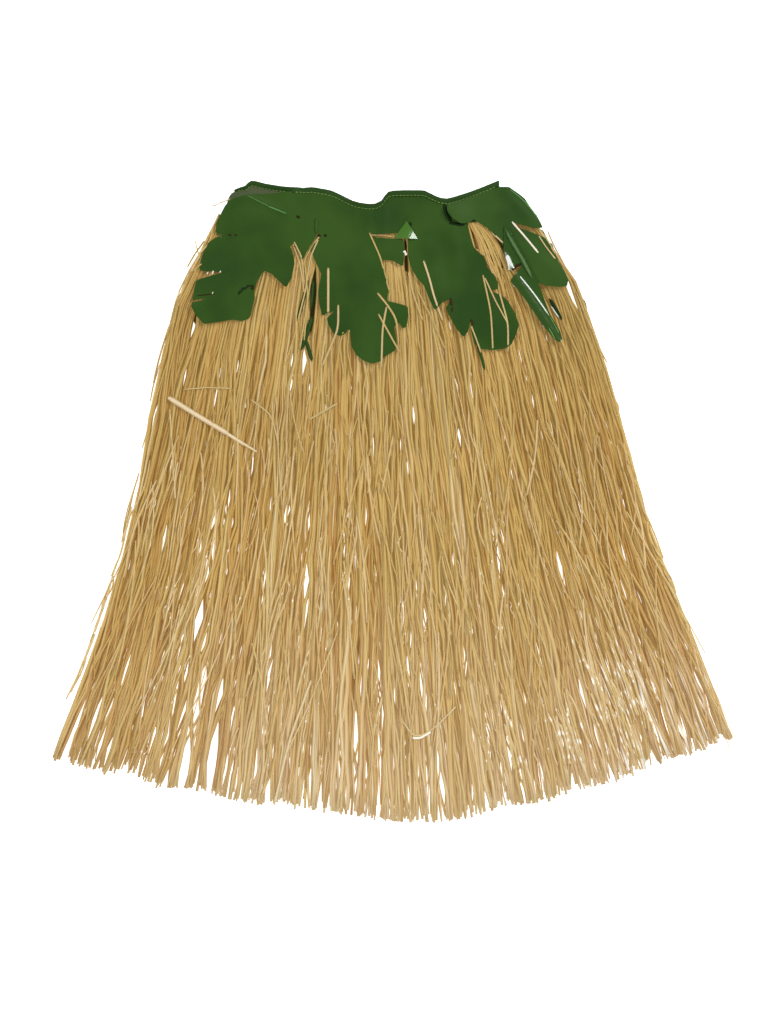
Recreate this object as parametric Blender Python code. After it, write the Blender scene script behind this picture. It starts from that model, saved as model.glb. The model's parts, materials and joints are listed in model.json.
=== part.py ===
"""Grass skirt lying flat: a leaf-cut waistband over a raffia fringe, front layer on back layer.

Metres, +Z up. The skirt lies on its back at z = 0, its front faces +Z and its waist points to +Y. The origin is
under the middle of the skirt. Every table is in millimetres: `across` runs to the right of the middle, `down`
runs from the top of the waist to the hem, and `round` is the radius that softens a corner of a cut edge.
"""

import math

import bmesh
import bpy
import numpy as np

MM = 0.001
GAP = 0.3                     # air left between neighbouring pieces
SHEET = 1.2                   # thickness of the green sheet
LENGTH = 641.0                # waist top to the longest strands
TOP_Y = LENGTH / 2            # y of the waist top, so the origin is in the middle
SEAM = 43.0                   # where the leaves leave the waistband
BINDING_DEEP = 5.0            # height of the folded strip along the waist
LEVEL = SHEET + GAP           # one sheet lying on another

FRONT_HANKS = 9
BACK_HANKS = 8
FRINGE_START = 33.0           # the strands are sewn in behind the waistband from here
WAIST_LEFT, WAIST_RIGHT = -169.0, 140.0
HANK_INSET = 0.2              # each hank stands this far back from the line it shares with the next one
ROUND_END = 9.0               # how much shorter a hank is at its edges than in its middle

# Top edge of the front waistband, left end to right end.
FRONT_EDGE = [
    # across, down
    (-163, 26), (-156, 19.5), (-140, 14.5), (-123, 14), (-104, 12.2), (-96, 10.8), (-89, 9), (-77, 7.5),
    (-67, 9), (-57, 11), (-46, 16), (-36, 21), (-29, 23), (-22, 24), (-13, 24), (-7, 21), (-3.5, 16),
    (0, 12), (5, 11), (22, 10.5), (36, 11), (42, 14), (51, 18), (58, 19), (76, 14), (95, 7), (110, 0.7),
]
FRONT_BINDING = (-96, 110)    # the binding covers this part of the front edge
FRONT_BAND_END = [(131, 20), (137, 30), (130, 38)]

# Top edge of the back waistband, which stands above the front one at the left.
BACK_EDGE = [
    # across, down
    (-160, 17), (-154, 9), (-143, 5), (-137, 0), (-123, 3), (-103, 6), (-87, 7), (-77, 10), (-57, 14),
    (-36, 24), (-13, 27), (0, 17), (22, 14), (41, 18), (58, 22), (95, 11), (108, 6),
]
BACK_BINDING = (-154, 108)
BACK_BAND_END = [(118, 11), (128, 18), (134, 25), (139, 33)]

# The leaves that are cut along the lower edge of the waistband. Each outline starts at the two ends of its root.
WIDE_LEAF = [
    # across, down, round
    (-171.5, 43, 0), (-71.5, 43, 0), (-71.5, 56, 0.8), (-81, 71, 3), (-86.5, 82, 2), (-91.5, 69, 2),
    (-99.5, 62, 1.5), (-95.5, 72, 3), (-93.5, 83, 5), (-96.5, 98, 4), (-102, 108, 2), (-109, 101, 4),
    (-117, 93.5, 3), (-124, 90.5, 1.5), (-131, 102, 3), (-133.5, 110, 2), (-133, 118, 3), (-138, 138.5, 5),
    (-146, 141, 2), (-155, 139.5, 2), (-170, 142, 4), (-184, 144, 3), (-192, 135, 4), (-196.5, 126, 2),
    (-195.5, 122.5, 0.5), (-175, 117.6, 0.4), (-195, 120.3, 0.5), (-193.5, 109, 5), (-191, 100, 3),
    (-178, 96, 1), (-164, 92.5, 0.4), (-176, 91.5, 1), (-189, 91, 3), (-186, 77, 6), (-181, 64, 5),
    (-172, 57.5, 2), (-165, 55.5, 0.4), (-172, 52, 1.5),
]
LONG_LEAF = [
    # across, down, round
    (-70, 43, 0), (17.5, 43, 0), (17, 52.5, 1), (3, 53.5, 1), (-17.5, 54.5, 0.5), (-12, 57.5, 1),
    (1, 58.5, 2), (15, 59, 2), (16, 71, 3), (14.5, 87, 1.5), (5, 81, 2), (-6, 79.5, 1.5), (-4.5, 93, 4),
    (0, 106, 5), (-1, 121, 1), (12, 124, 3), (19, 126.5, 2), (20, 135, 3), (18, 146, 2), (14.5, 149, 1.5),
    (10, 142, 1), (5.5, 147, 1.5), (8, 161, 3), (7, 170, 2), (-3, 176, 3), (-8, 181, 3), (-16, 183.5, 4),
    (-24, 181, 3), (-32, 175, 4), (-37, 166, 3), (-38, 154, 1.5), (-40, 148.5, 0.5), (-42.5, 153, 1.5),
    (-48, 156, 2.5), (-55, 153, 2), (-60, 144, 3), (-61.5, 138, 1.5), (-53, 130.5, 0.5), (-61, 133, 1.5),
    (-66, 136, 1.5), (-69, 124, 4), (-70, 111, 4), (-67, 94, 4), (-73, 81, 4), (-77.5, 70, 1.5),
    (-72, 60, 1), (-70, 55, 0.5),
]
PALM_LEAF = [
    # across, down, round
    (19, 43, 0), (79, 43, 0), (81, 57, 3), (85, 67, 2), (89, 72.5, 2), (95, 76, 1.5), (98, 87, 2),
    (104, 94, 2), (109, 102, 2), (109, 109, 1), (99, 111, 0.4), (111, 114.5, 2), (119, 121, 3),
    (126, 133, 5), (130, 145, 3), (127, 154, 3), (122.5, 164, 3), (116, 168.5, 3), (102, 170, 3),
    (91, 168.5, 2), (85.5, 164, 2), (82.5, 152, 1), (82, 139, 0.4), (79.5, 150, 1), (75, 157.5, 1.5),
    (68, 149, 3), (60, 135, 2), (57, 128, 1), (62, 119, 0.5), (54, 122, 2), (46, 130.5, 1.5), (41, 120, 3),
    (35, 105, 3), (29, 99, 2), (22, 87, 3), (19.5, 77, 2),
]
# The last leaf at the right lies on the waistband, and its left end is a round lobe that curls up.
OVERLAP_LEAF = [
    # across, down, round
    (58.5, 25, 1), (76, 19.8, 0), (95, 12.8, 0), (110, 7, 0.5), (120, 7, 2), (130, 14, 4), (136, 19, 4),
    (141, 27, 4), (148, 36, 4), (154, 48, 0.8), (144, 48.5, 1), (136, 46, 1), (123.5, 42.5, 0.5),
    (129, 47.5, 1), (144, 53, 2), (150, 55.5, 2), (156, 58, 2), (160, 64, 2), (166, 72.5, 3), (169, 81, 3),
    (175, 91, 3), (179, 100, 2), (177.5, 106.5, 2), (170, 107, 1), (157, 106, 2), (146, 102, 3),
    (129, 81, 3), (114, 66, 2), (103, 51.5, 3), (91, 43.5, 2), (85, 39.5, 1.5), (80, 43, 2), (72, 44, 4),
    (64, 39, 4), (58, 31, 4),
]
# A slim leaf folded along its rib, lying on the one before.
SLIM_LEAF = [
    # across, down, round
    (115, 46, 1), (119, 47, 1.5), (135, 78, 6), (151, 108, 6), (160, 133, 6), (171, 152, 4), (173, 160, 1),
    (169, 162.5, 1), (162, 156, 3), (151, 142, 4), (140, 125.5, 4), (127, 107.5, 3), (121, 101, 1.5),
    (133, 85.5, 0.5), (123, 89, 1), (120, 92.5, 1), (117.5, 81, 4), (114.5, 73, 3), (114.5, 54, 4),
]

BACK_LEAVES = [
    # name, outline, side (-1 is turned over), across of its root, turn in degrees, stretch, lift
    ("leaf_back_left", WIDE_LEAF, 1, -123, 0, 1.09, 0),
    ("leaf_back_slim", SLIM_LEAF, 1, -56, -33, 1.0, 3),
    ("leaf_back_middle", LONG_LEAF, -1, -3, 0, 1.0, 0),
    ("leaf_back_right", WIDE_LEAF, -1, 93, 7, 1.0, 7),
]

# The curve of the hem, and how far the two side edges of the fan bow out from straight lines.
HEM = [
    # across, down
    (-341.3, 574), (-279, 589), (-219, 604), (-144, 619), (-89, 624), (-39, 632), (11, 639), (51, 641),
    (101, 628), (171, 613), (211, 602), (251, 588), (311, 566), (341.3, 556),
]
SIDE_BOW = [
    # share of the length, left edge, right edge
    (0, 0, 0), (0.08, -7, 12), (0.16, -16, 19), (0.25, -13, 17), (0.31, -10, 15), (0.38, -6, 11),
    (0.5, 3, 4), (0.65, 9, -2), (0.8, 8, 0), (0.93, 3, 0), (1, 0, 0),
]
BOW_REACH = 0.35              # share of the width over which an edge's bow dies away

# Heights of the two fringe layers along the skirt. The back layer rests on the back leaves, then on the ground.
LAYERS = [
    # down, under the back, top of the back, top of the front
    (0, 1.5, 4.5, 8.3), (200, 1.5, 8.0, 15.5), (235, 0, 8.0, 15.5), (420, 0, 8.0, 15.5), (641, 0, 5.0, 9.5),
]

# Shape of one hank across its width: how far across, how full, and how much shorter its end is.
HANK_SECTION = [
    # share, fullness, shorter
    (0.0, 0.8, 1.0), (0.2, 1.0, 0.25), (0.5, 1.0, 0.0), (0.8, 1.0, 0.25), (1.0, 0.8, 1.0),
]
OUTER_FULLNESS = 0.4          # the fan thins out at its two sides


def column(table, index):
    return [row[index] for row in table]


def read(table, at, index):
    """Value of one column of a table at a place between its rows."""
    return float(np.interp(at, column(table, 0), column(table, index)))


def point(across, down, z):
    return (across * MM, (TOP_Y - down) * MM, z * MM)


def clear_scene():
    for obj in list(bpy.data.objects):
        bpy.data.objects.remove(obj, do_unlink=True)


def material(name, colour, roughness):
    made = bpy.data.materials.new(name)
    made.use_nodes = True
    shader = made.node_tree.nodes["Principled BSDF"]
    shader.inputs["Base Color"].default_value = (*colour, 1)
    shader.inputs["Roughness"].default_value = roughness
    return made


def finish(name, mesh_data, finish_material, smooth_angle=30):
    """Close up a mesh being built and put it in the scene as one node."""
    bmesh.ops.recalc_face_normals(mesh_data, faces=mesh_data.faces)
    if mesh_data.calc_volume(signed=True) < 0:
        bmesh.ops.reverse_faces(mesh_data, faces=mesh_data.faces)
    mesh = bpy.data.meshes.new(name)
    mesh_data.to_mesh(mesh)
    mesh_data.free()
    mesh.materials.append(finish_material)
    mesh.shade_smooth()
    mesh.set_sharp_from_angle(angle=math.radians(smooth_angle))
    obj = bpy.data.objects.new(name, mesh)
    bpy.context.collection.objects.link(obj)
    return obj


# ---- heights ----------------------------------------------------------------------------------------------

def back_under(down):
    return read(LAYERS, down, 1)


def back_top(down):
    return read(LAYERS, down, 2)


def front_top(down):
    return read(LAYERS, down, 3)


def on_front(level):
    """Underside of a sheet that lies on the front fringe with `level` sheets below it."""
    return lambda down: front_top(down) + GAP + level * LEVEL


def on_ground(down):
    return 0.0


# ---- green sheet ------------------------------------------------------------------------------------------

def rounded(corners):
    """An outline with each corner replaced by an arc of its own radius."""
    outline = []
    count = len(corners)
    for i, (across, down, radius) in enumerate(corners):
        here = np.array([across, down], float)
        to_last = np.array(corners[i - 1][:2], float) - here
        to_next = np.array(corners[(i + 1) % count][:2], float) - here
        room = 0.45 * min(np.linalg.norm(to_last), np.linalg.norm(to_next))
        to_last /= np.linalg.norm(to_last)
        to_next /= np.linalg.norm(to_next)
        half = math.acos(max(-1.0, min(1.0, float(to_last @ to_next)))) / 2
        if radius == 0 or half > math.radians(87):
            outline.append(here)
            continue
        setback = min(radius / math.tan(half), room)
        radius = setback * math.tan(half)
        middle = here + (to_last + to_next) / np.linalg.norm(to_last + to_next) * radius / math.sin(half)
        start = here + to_last * setback - middle
        sweep = math.pi - 2 * half
        if start[0] * (here - middle)[1] - start[1] * (here - middle)[0] < 0:
            sweep = -sweep
        steps = max(1, min(5, round(abs(sweep) * radius / 1.6)))
        for k in range(steps + 1):
            turn = sweep * k / steps
            cos, sin = math.cos(turn), math.sin(turn)
            outline.append(middle + np.array([start[0] * cos - start[1] * sin, start[0] * sin + start[1] * cos]))
    return outline


def smooth_edge(rows, spacing=5.0):
    """Points along the smooth curve through the rows of an edge table."""
    rows = np.array(rows, float)
    padded = np.vstack([2 * rows[0] - rows[1], rows, 2 * rows[-1] - rows[-2]])
    points = []
    for i in range(1, len(rows)):
        before, a, b, after = padded[i - 1:i + 3]
        steps = max(1, round(np.linalg.norm(b - a) / spacing))
        for t in np.arange(steps) / steps:
            points.append(0.5 * (2 * a + (b - before) * t + (2 * before - 5 * a + 4 * b - after) * t ** 2
                                 + (3 * a - before - 3 * b + after) * t ** 3))
    return points + [rows[-1]]


def sheet(name, outline, underside, thickness, finish_material):
    """A flat-cut piece of sheet of even thickness whose underside follows a height along the skirt."""
    made = bmesh.new()
    low = [made.verts.new(point(a, d, underside(d))) for a, d in outline]
    high = [made.verts.new(point(a, d, underside(d) + thickness)) for a, d in outline]
    made.faces.new(low)
    made.faces.new(high)
    for i in range(len(outline)):
        j = (i + 1) % len(outline)
        made.faces.new((low[i], low[j], high[j], high[i]))
    return finish(name, made, finish_material)


def binding_depth(across, span):
    """Depth of the binding at a place on the edge: it grows from its left end and is nothing outside its span."""
    start, end = span
    if across < start or across > end + 0.01:
        return 0.0
    return min(BINDING_DEEP, 1.5 + (across - start) * 0.25)


def band_outline(edge, span, right_end, roots):
    """The waistband: under its edge or binding, round its right end, and back along the tops of the leaves."""
    top = [(a, d + (binding_depth(a, span) + GAP if binding_depth(a, span) else 0.0)) for a, d in smooth_edge(edge)]
    bottom = [(a, SEAM - GAP) for a in sorted(roots, reverse=True)]
    return top + right_end + bottom


def binding_outline(edge, span):
    top = [(a, d) for a, d in smooth_edge(edge) if span[0] - 0.01 <= a <= span[1] + 0.01]
    return top + [(a, d + binding_depth(a, span)) for a, d in reversed(top)]


def turned(corners, side, root, degrees, stretch, lift):
    """A leaf outline moved to a new root, turned over when side is -1, swung and cut off along the seam."""
    middle = (corners[0][0] + corners[1][0]) / 2
    start = corners[0][1]
    cos, sin = math.cos(math.radians(degrees)), math.sin(math.radians(degrees))
    moved = []
    for across, down, radius in corners:
        x, y = (across - middle) * side, (down - start) * stretch
        x, y = x * cos + y * sin, y * cos - x * sin
        moved.append((root + x, max(SEAM, SEAM - lift + y), radius))
    return moved


# ---- fringe -----------------------------------------------------------------------------------------------

def fan(share, along):
    """Across and down of a point on the fringe: its share of the width and how far along its strand it is."""
    top = np.array([WAIST_LEFT + (WAIST_RIGHT - WAIST_LEFT) * share, FRINGE_START])
    hem_across = HEM[0][0] + (HEM[-1][0] - HEM[0][0]) * share
    hem = np.array([hem_across, read(HEM, hem_across, 1)])
    across, down = top + (hem - top) * along
    left = max(0.0, 1 - share / BOW_REACH) * read(SIDE_BOW, along, 1)
    right = max(0.0, 1 - (1 - share) / BOW_REACH) * read(SIDE_BOW, along, 2)
    return across + left + right, down


def hank(name, first, last, under, top, finish_material):
    """One bundle of strands as the plain solid that it fills, between two shares of the fan's width."""
    made = bmesh.new()
    rows = []
    for along in column(SIDE_BOW, 0):
        low, high = [], []
        for share, fullness, shorter in HANK_SECTION:
            place = first + (last - first) * share
            whole = 1 - shorter * ROUND_END / (LENGTH - FRINGE_START)
            across, down = fan(place, along * whole)
            across += HANK_INSET * (share == 0) - HANK_INSET * (share == 1)
            if place < 0.001 or place > 0.999:
                fullness = OUTER_FULLNESS
            low.append(made.verts.new(point(across, down, under(down))))
            high.append(made.verts.new(point(across, down, under(down) + (top(down) - under(down)) * fullness)))
        rows.append(low + high[::-1])
    for upper, lower in zip(rows, rows[1:]):
        for i in range(len(upper)):
            j = (i + 1) % len(upper)
            made.faces.new((upper[i], upper[j], lower[j], lower[i]))
    made.faces.new(rows[0])
    made.faces.new(rows[-1])
    return finish(name, made, finish_material)


# ---- the skirt --------------------------------------------------------------------------------------------

clear_scene()
leaf_green = material("leaf_green", (0.04, 0.11, 0.02), 0.3)
binding_green = material("binding_green", (0.025, 0.07, 0.015), 0.35)
straw = material("raffia", (0.5, 0.33, 0.12), 0.6)

for number in range(BACK_HANKS):
    hank(f"fringe_back_{number + 1}", number / BACK_HANKS, (number + 1) / BACK_HANKS, back_under, back_top, straw)
for number in range(FRONT_HANKS):
    hank(f"fringe_front_{number + 1}", number / FRONT_HANKS, (number + 1) / FRONT_HANKS,
         lambda down: back_top(down) + GAP, front_top, straw)

front_roots = [corner[0] for leaf in (WIDE_LEAF, LONG_LEAF, PALM_LEAF) for corner in leaf[:2]]
sheet("waistband_front", band_outline(FRONT_EDGE, FRONT_BINDING, FRONT_BAND_END, front_roots),
      on_front(0), SHEET, leaf_green)
sheet("binding_front", binding_outline(FRONT_EDGE, FRONT_BINDING), on_front(0), LEVEL + SHEET + 0.2, binding_green)
for name, cut, level in (("leaf_front_wide", WIDE_LEAF, 0), ("leaf_front_long", LONG_LEAF, 0),
                         ("leaf_front_palm", PALM_LEAF, 0), ("leaf_front_overlap", OVERLAP_LEAF, 1),
                         ("leaf_front_slim", SLIM_LEAF, 2)):
    sheet(name, rounded(cut), on_front(level), SHEET, leaf_green)

back_roots = [-167.0, 143.0]
sheet("waistband_back", band_outline(BACK_EDGE, BACK_BINDING, BACK_BAND_END, back_roots),
      on_ground, SHEET, leaf_green)
sheet("binding_back", binding_outline(BACK_EDGE, BACK_BINDING), on_ground, SHEET + 0.6, binding_green)
for name, cut, side, root, degrees, stretch, lift in BACK_LEAVES:
    sheet(name, rounded(turned(cut, side, root, degrees, stretch, lift)), on_ground, SHEET, leaf_green)
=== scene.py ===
# %% [markdown]
# # Grass skirt, laid out flat
#
# The skirt is two things sewn together: a thick fringe of dry raffia, and a band of glossy green sheet
# that is cut into leaves along its lower edge. It lies on its back, so everything here is thin: the back
# leaves are on the floor, the two layers of fringe lie on them, and the front leaves lie on top.
#
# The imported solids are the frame. They say how far the fringe reaches and where each leaf lies, and
# every piece below takes its place from them.

# %% Load the frame
import json
import math

import bmesh
import bpy
import numpy as np
from mathutils.bvhtree import BVHTree
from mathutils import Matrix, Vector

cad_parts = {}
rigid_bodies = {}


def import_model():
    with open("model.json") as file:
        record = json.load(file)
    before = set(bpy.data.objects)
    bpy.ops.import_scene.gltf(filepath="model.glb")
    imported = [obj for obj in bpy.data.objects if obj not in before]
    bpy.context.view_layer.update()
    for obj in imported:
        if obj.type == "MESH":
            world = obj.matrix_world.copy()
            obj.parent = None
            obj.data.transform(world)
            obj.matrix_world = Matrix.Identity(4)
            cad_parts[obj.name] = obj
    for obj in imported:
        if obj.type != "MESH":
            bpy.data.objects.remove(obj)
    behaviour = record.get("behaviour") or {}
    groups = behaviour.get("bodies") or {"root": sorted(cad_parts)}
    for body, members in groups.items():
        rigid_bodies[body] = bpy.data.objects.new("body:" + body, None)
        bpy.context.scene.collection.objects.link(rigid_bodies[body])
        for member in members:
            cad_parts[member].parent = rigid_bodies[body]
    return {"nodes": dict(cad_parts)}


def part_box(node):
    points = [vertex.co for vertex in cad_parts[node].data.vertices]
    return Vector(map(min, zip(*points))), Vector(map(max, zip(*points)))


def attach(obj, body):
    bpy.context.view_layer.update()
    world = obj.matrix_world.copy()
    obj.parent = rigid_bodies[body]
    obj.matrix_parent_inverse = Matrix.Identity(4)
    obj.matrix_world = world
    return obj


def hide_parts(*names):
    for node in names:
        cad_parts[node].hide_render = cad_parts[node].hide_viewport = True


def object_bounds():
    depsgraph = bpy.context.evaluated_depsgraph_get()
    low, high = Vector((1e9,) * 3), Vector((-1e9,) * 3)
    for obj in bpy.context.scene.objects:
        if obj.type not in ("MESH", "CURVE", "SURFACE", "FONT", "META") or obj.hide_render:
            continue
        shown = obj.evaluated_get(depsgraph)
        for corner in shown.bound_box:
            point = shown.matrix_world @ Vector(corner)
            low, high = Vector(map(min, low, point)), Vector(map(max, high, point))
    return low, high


for left_over in list(bpy.data.objects):
    bpy.data.objects.remove(left_over, do_unlink=True)

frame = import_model()
cad_low, cad_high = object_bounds()
MM = 0.001
WAIST_TOP = cad_high.y
LENGTH = 640                  # mm from the waist to the hem
WIDTH_AT_TOP, WIDTH_AT_HEM = 309, 660
print("the skirt is", [round(v * 1000) for v in cad_high - cad_low], "mm")

# %% [markdown]
# A garment maker measures from the waist: so far across from the middle, so far down. These helpers turn
# such a pair in millimetres into metres, list the frame's nodes by the piece that they stand for, and hand
# a finished piece to the frame.

# %% Measure as a maker does
FRONT_HANKS = sorted(n for n in frame["nodes"] if n.startswith("fringe_front"))
BACK_HANKS = sorted(n for n in frame["nodes"] if n.startswith("fringe_back"))
FRONT_SHEET = ["waistband_front", "leaf_front_wide", "leaf_front_long", "leaf_front_palm"]
BACK_SHEET = ["waistband_back", "leaf_back_left", "leaf_back_slim", "leaf_back_middle", "leaf_back_right"]


def place(across, down, height=0.0):
    """A point on the skirt in metres, from millimetres across, down and up."""
    return np.array([across * MM, WAIST_TOP - down * MM, height * MM])


def fan_half(down):
    """Half the width of the fringe in mm, at a distance down from the waist."""
    return (WIDTH_AT_TOP + (WIDTH_AT_HEM - WIDTH_AT_TOP) * down / LENGTH) / 2


def smooth_step(value, low, high):
    """0 below low, 1 above high, and a soft rise in between."""
    share = np.clip((value - low) / (high - low), 0, 1)
    return share * share * (3 - 2 * share)


def select_only(obj=None):
    """Select one object and make it the active one, or select nothing."""
    for other in bpy.context.view_layer.objects:
        other.select_set(other is obj)
    bpy.context.view_layer.objects.active = obj


def add_object(name, data):
    """A new object in the scene, at the origin."""
    obj = bpy.data.objects.new(name, data)
    bpy.context.scene.collection.objects.link(obj)
    return obj


def hand_in(obj, slot, *replaced):
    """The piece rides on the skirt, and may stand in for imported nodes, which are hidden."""
    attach(obj, "root")
    if replaced:
        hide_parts(*replaced)


select_only()
print(len(FRONT_HANKS), "hanks in front,", len(BACK_HANKS), "behind")

# %% [markdown]
# ## Camera
#
# The skirt is seen from straight above. A long lens far away keeps its outline true, with hardly any
# perspective. The lens is worked out from how much of the floor the view takes in.

# %% Set the camera
VIEW_TALL = 1.024             # metres of floor, from the top of the view to its foot
CAMERA_HEIGHT = 3.2
SENSOR = 36.0
VIEW_CENTRE = (0.002, -0.0105)

camera_data = bpy.data.cameras.new("camera")
camera_data.sensor_width = SENSOR
camera_data.lens = SENSOR * CAMERA_HEIGHT / VIEW_TALL
camera = add_object("camera", camera_data)
camera.location = (*VIEW_CENTRE, CAMERA_HEIGHT)
bpy.context.scene.camera = camera
print("lens", round(camera_data.lens, 1), "mm")

# %% [markdown]
# ## Floor and light
#
# A white floor and soft light from large panels, as in a product studio. The main panel stands at the
# upper right, so raised edges throw short shadows to the lower left. A weaker one fills from the left.

# %% Make the floor and the lights
FLOOR_SIZE, FLOOR_BELOW = 12.0, 0.0002

bpy.ops.mesh.primitive_plane_add(size=FLOOR_SIZE, location=(0, 0, -FLOOR_BELOW))
floor = bpy.context.object
floor.name = "floor"


def panel(name, location, size, power):
    """A square area light that faces the skirt."""
    light = bpy.data.lights.new(name, "AREA")
    light.size = size
    light.energy = power
    obj = add_object(name, light)
    obj.location = location
    away = obj.location.normalized()
    obj.rotation_euler = away.to_track_quat("Z", "Y").to_euler()


panel("key_panel", (1.75, 1.15, 1.9), 0.8, 35)
panel("fill_panel", (-2.0, 0.6, 1.7), 1.6, 20)
panel("low_panel", (0.3, -2.4, 1.8), 1.6, 18)
panel("crease_panel", (0.95, 2.1, 2.2), 0.7, 12)

# The studio is bright near the horizon and dim overhead, so that the sheet reflects a dark ceiling.
BRIGHT_WALL, DIM_CEILING = (0.95, 0.97, 1.0, 1), (0.18, 0.18, 0.19, 1)
world = bpy.data.worlds.new("studio")
world.use_nodes = True
sky = world.node_tree
sky_shade = sky.nodes.new("ShaderNodeValToRGB")
sky_height = sky.nodes.new("ShaderNodeSeparateXYZ")
sky_way = sky.nodes.new("ShaderNodeTexCoord")
for stop, position, colour in zip(sky_shade.color_ramp.elements, (0.35, 0.95), (BRIGHT_WALL, DIM_CEILING)):
    stop.position = position
    stop.color = colour
sky.links.new(sky_way.outputs["Generated"], sky_height.inputs[0])
sky.links.new(sky_height.outputs["Z"], sky_shade.inputs["Fac"])
sky.links.new(sky_shade.outputs["Color"], sky.nodes["Background"].inputs["Color"])
sky.nodes["Background"].inputs["Strength"].default_value = 0.6
bpy.context.scene.world = world
bpy.context.scene.view_settings.view_transform = "Standard"
bpy.context.scene.view_settings.look = "None"
print("four panels and a pale studio")

# %% [markdown]
# ## Shader maths as plain sums
#
# A material is a small program, and its nodes are easier to read as sums. A `Wire` is one value in a
# material: adding or multiplying wires adds the Math nodes. Everything else is made by `node`.

# %% Define wires and finishes
class Wire:
    """A number or colour that flows from one node of a material to another."""

    def __init__(self, finish, socket):
        self.finish = finish
        self.socket = socket

    def maths(self, operation, first, second):
        return self.finish.node("ShaderNodeMath", {"operation": operation}, {0: first, 1: second})

    def __add__(self, other):
        return self.maths("ADD", self, other)

    def __sub__(self, other):
        return self.maths("SUBTRACT", self, other)

    def __rsub__(self, other):
        return self.maths("SUBTRACT", other, self)

    def __mul__(self, other):
        return self.maths("MULTIPLY", self, other)

    __radd__ = __add__
    __rmul__ = __mul__


class Finish:
    """One material, with its Principled shader and a way to add any node."""

    def __init__(self, name, roughness, specular=0.4):
        self.material = bpy.data.materials.new(name)
        self.material.use_nodes = True
        self.tree = self.material.node_tree
        self.shader = self.tree.nodes["Principled BSDF"]
        self.shader.inputs["Roughness"].default_value = roughness
        self.shader.inputs["Specular IOR Level"].default_value = specular

    def feed(self, socket, value):
        """Link a wire to a socket, or set a constant on it."""
        if isinstance(value, Wire):
            self.tree.links.new(value.socket, socket)
        elif socket.type == "RGBA" and len(value) == 3:
            socket.default_value = (*value, 1)
        else:
            socket.default_value = value

    def node(self, kind, settings=None, sockets=None, result=0):
        """Add any node: its settings first, then its sockets. The wire of one output comes back."""
        made = self.tree.nodes.new(kind)
        for name, value in (settings or {}).items():
            if name == "stops":
                ramp = made.color_ramp
                while len(ramp.elements) < len(value):
                    ramp.elements.new(1.0)
                for element, (position, colour) in zip(ramp.elements, value):
                    element.position = position
                    element.color = (*colour, 1)
            else:
                setattr(made, name, value)
        for name, value in (sockets or {}).items():
            self.feed(made.inputs[name], value)
        return Wire(self, made.outputs[result])

    def blend(self, factor, first, second, how="MIX"):
        """Two colours mixed by a factor."""
        return self.node("ShaderNodeMix", {"data_type": "RGBA", "blend_type": how},
                         {0: factor, 6: first, 7: second}, result=2)

    def ramp(self, value, *stops):
        """A colour for a number, from stops of a position and a colour."""
        return self.node("ShaderNodeValToRGB", {"stops": stops}, {"Fac": value})

    def step(self, value, low, high):
        """0 below low and 1 above high."""
        return self.ramp(value, (low, (0, 0, 0)), (high, (1, 1, 1)))

    def attribute(self, name):
        return self.node("ShaderNodeAttribute", {"attribute_name": name}, result=2)

    def noise(self, vector, scale, detail=3.0, roughness=0.5):
        return self.node("ShaderNodeTexNoise", {},
                         {"Vector": vector, "Scale": scale, "Detail": detail, "Roughness": roughness})

    def stretched(self, source, scale):
        """The coordinates of a pattern, squeezed or stretched along each axis."""
        return self.node("ShaderNodeMapping", {}, {"Vector": source, "Scale": scale})

    def bump(self, height, strength, distance):
        return self.node("ShaderNodeBump", {},
                         {"Height": height, "Strength": strength, "Distance": distance})

    def output(self, name, value):
        self.feed(self.shader.inputs[name], value)


print("wires and finishes are ready")

# %% [markdown]
# ## The finishes
#
# Raffia is a dried leaf: straw-coloured, with fine ridges along it, and each strand has its own tone. The
# strands carry that tone as an attribute, and their UV map runs along them, so the ridges follow every bend.

# %% Raffia finish
RAFFIA_PAINTED_GLOW = 0.235           # painted glow: the fibre gives off its own colour as light, for the light that comes through it from the floor


def raffia_finish(name, *tones):
    """Dry fibre: painted shade makes it darker and browner near the waist and at the right, painted sheen
    makes it nearly white where it is pale, and it has a painted glow of its own colour.
    """
    made = Finish(name, 0.5, 0.35)
    tone, pale = made.attribute("tone"), made.attribute("pale")
    along = made.node("ShaderNodeTexCoord", result=2)
    spot = made.node("ShaderNodeTexCoord", result=3)
    aside = made.node("ShaderNodeSeparateXYZ", {}, {0: spot}, result=0)
    height = made.node("ShaderNodeSeparateXYZ", {}, {0: spot}, result=1)
    # Painted shade: the colour turns darker and browner near the waist, most at the right; the clouds add
    # tone at random.
    upper = made.step(height * 2 + 0.3, 0.2, 0.7)
    right = made.step(aside * 3, 0.36, 0.56)
    clouds = made.noise(spot, 9.0, 2.0)
    ridges = made.noise(made.stretched(along, (4.0, 0.5, 1.0)), 1.0, 3.0, 0.6)
    blotches = made.noise(made.stretched(along, (0.35, 1.1, 1.0)), 1.0, 2.0)
    colour = made.ramp(tone, *tones)
    colour = made.blend(ridges * 0.3, colour, (0.46, 0.24, 0.06))
    waist_shade_and_tone = upper * (right * 0.5 + 0.48) + (clouds - 0.42) * 0.8
    colour = made.blend(waist_shade_and_tone, colour, (0.40, 0.255, 0.07))
    colour = made.blend((blotches - 0.42) * 1.2, colour, (0.60, 0.445, 0.13))
    # Painted sheen: the palest strands turn from cream to nearly white; lesser paleness is the fibre fading.
    fade_and_sheen = made.ramp(pale, (0.0, (0.78, 0.61, 0.40)), (0.5, (0.84, 0.68, 0.48)), (0.75, (0.98, 0.93, 0.80)))
    colour = made.blend(pale * 1.15, colour, fade_and_sheen)
    made.output("Base Color", colour)
    # Painted glow: the fibre's own colour is given off as light, which lifts its shadows.
    made.output("Emission Color", colour)
    made.output("Roughness", 0.6 - pale * 0.3 - ridges * 0.1)
    made.output("Normal", made.bump(ridges, 0.4, 0.0005))
    made.output("Emission Strength", RAFFIA_PAINTED_GLOW)
    return made.material


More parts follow.
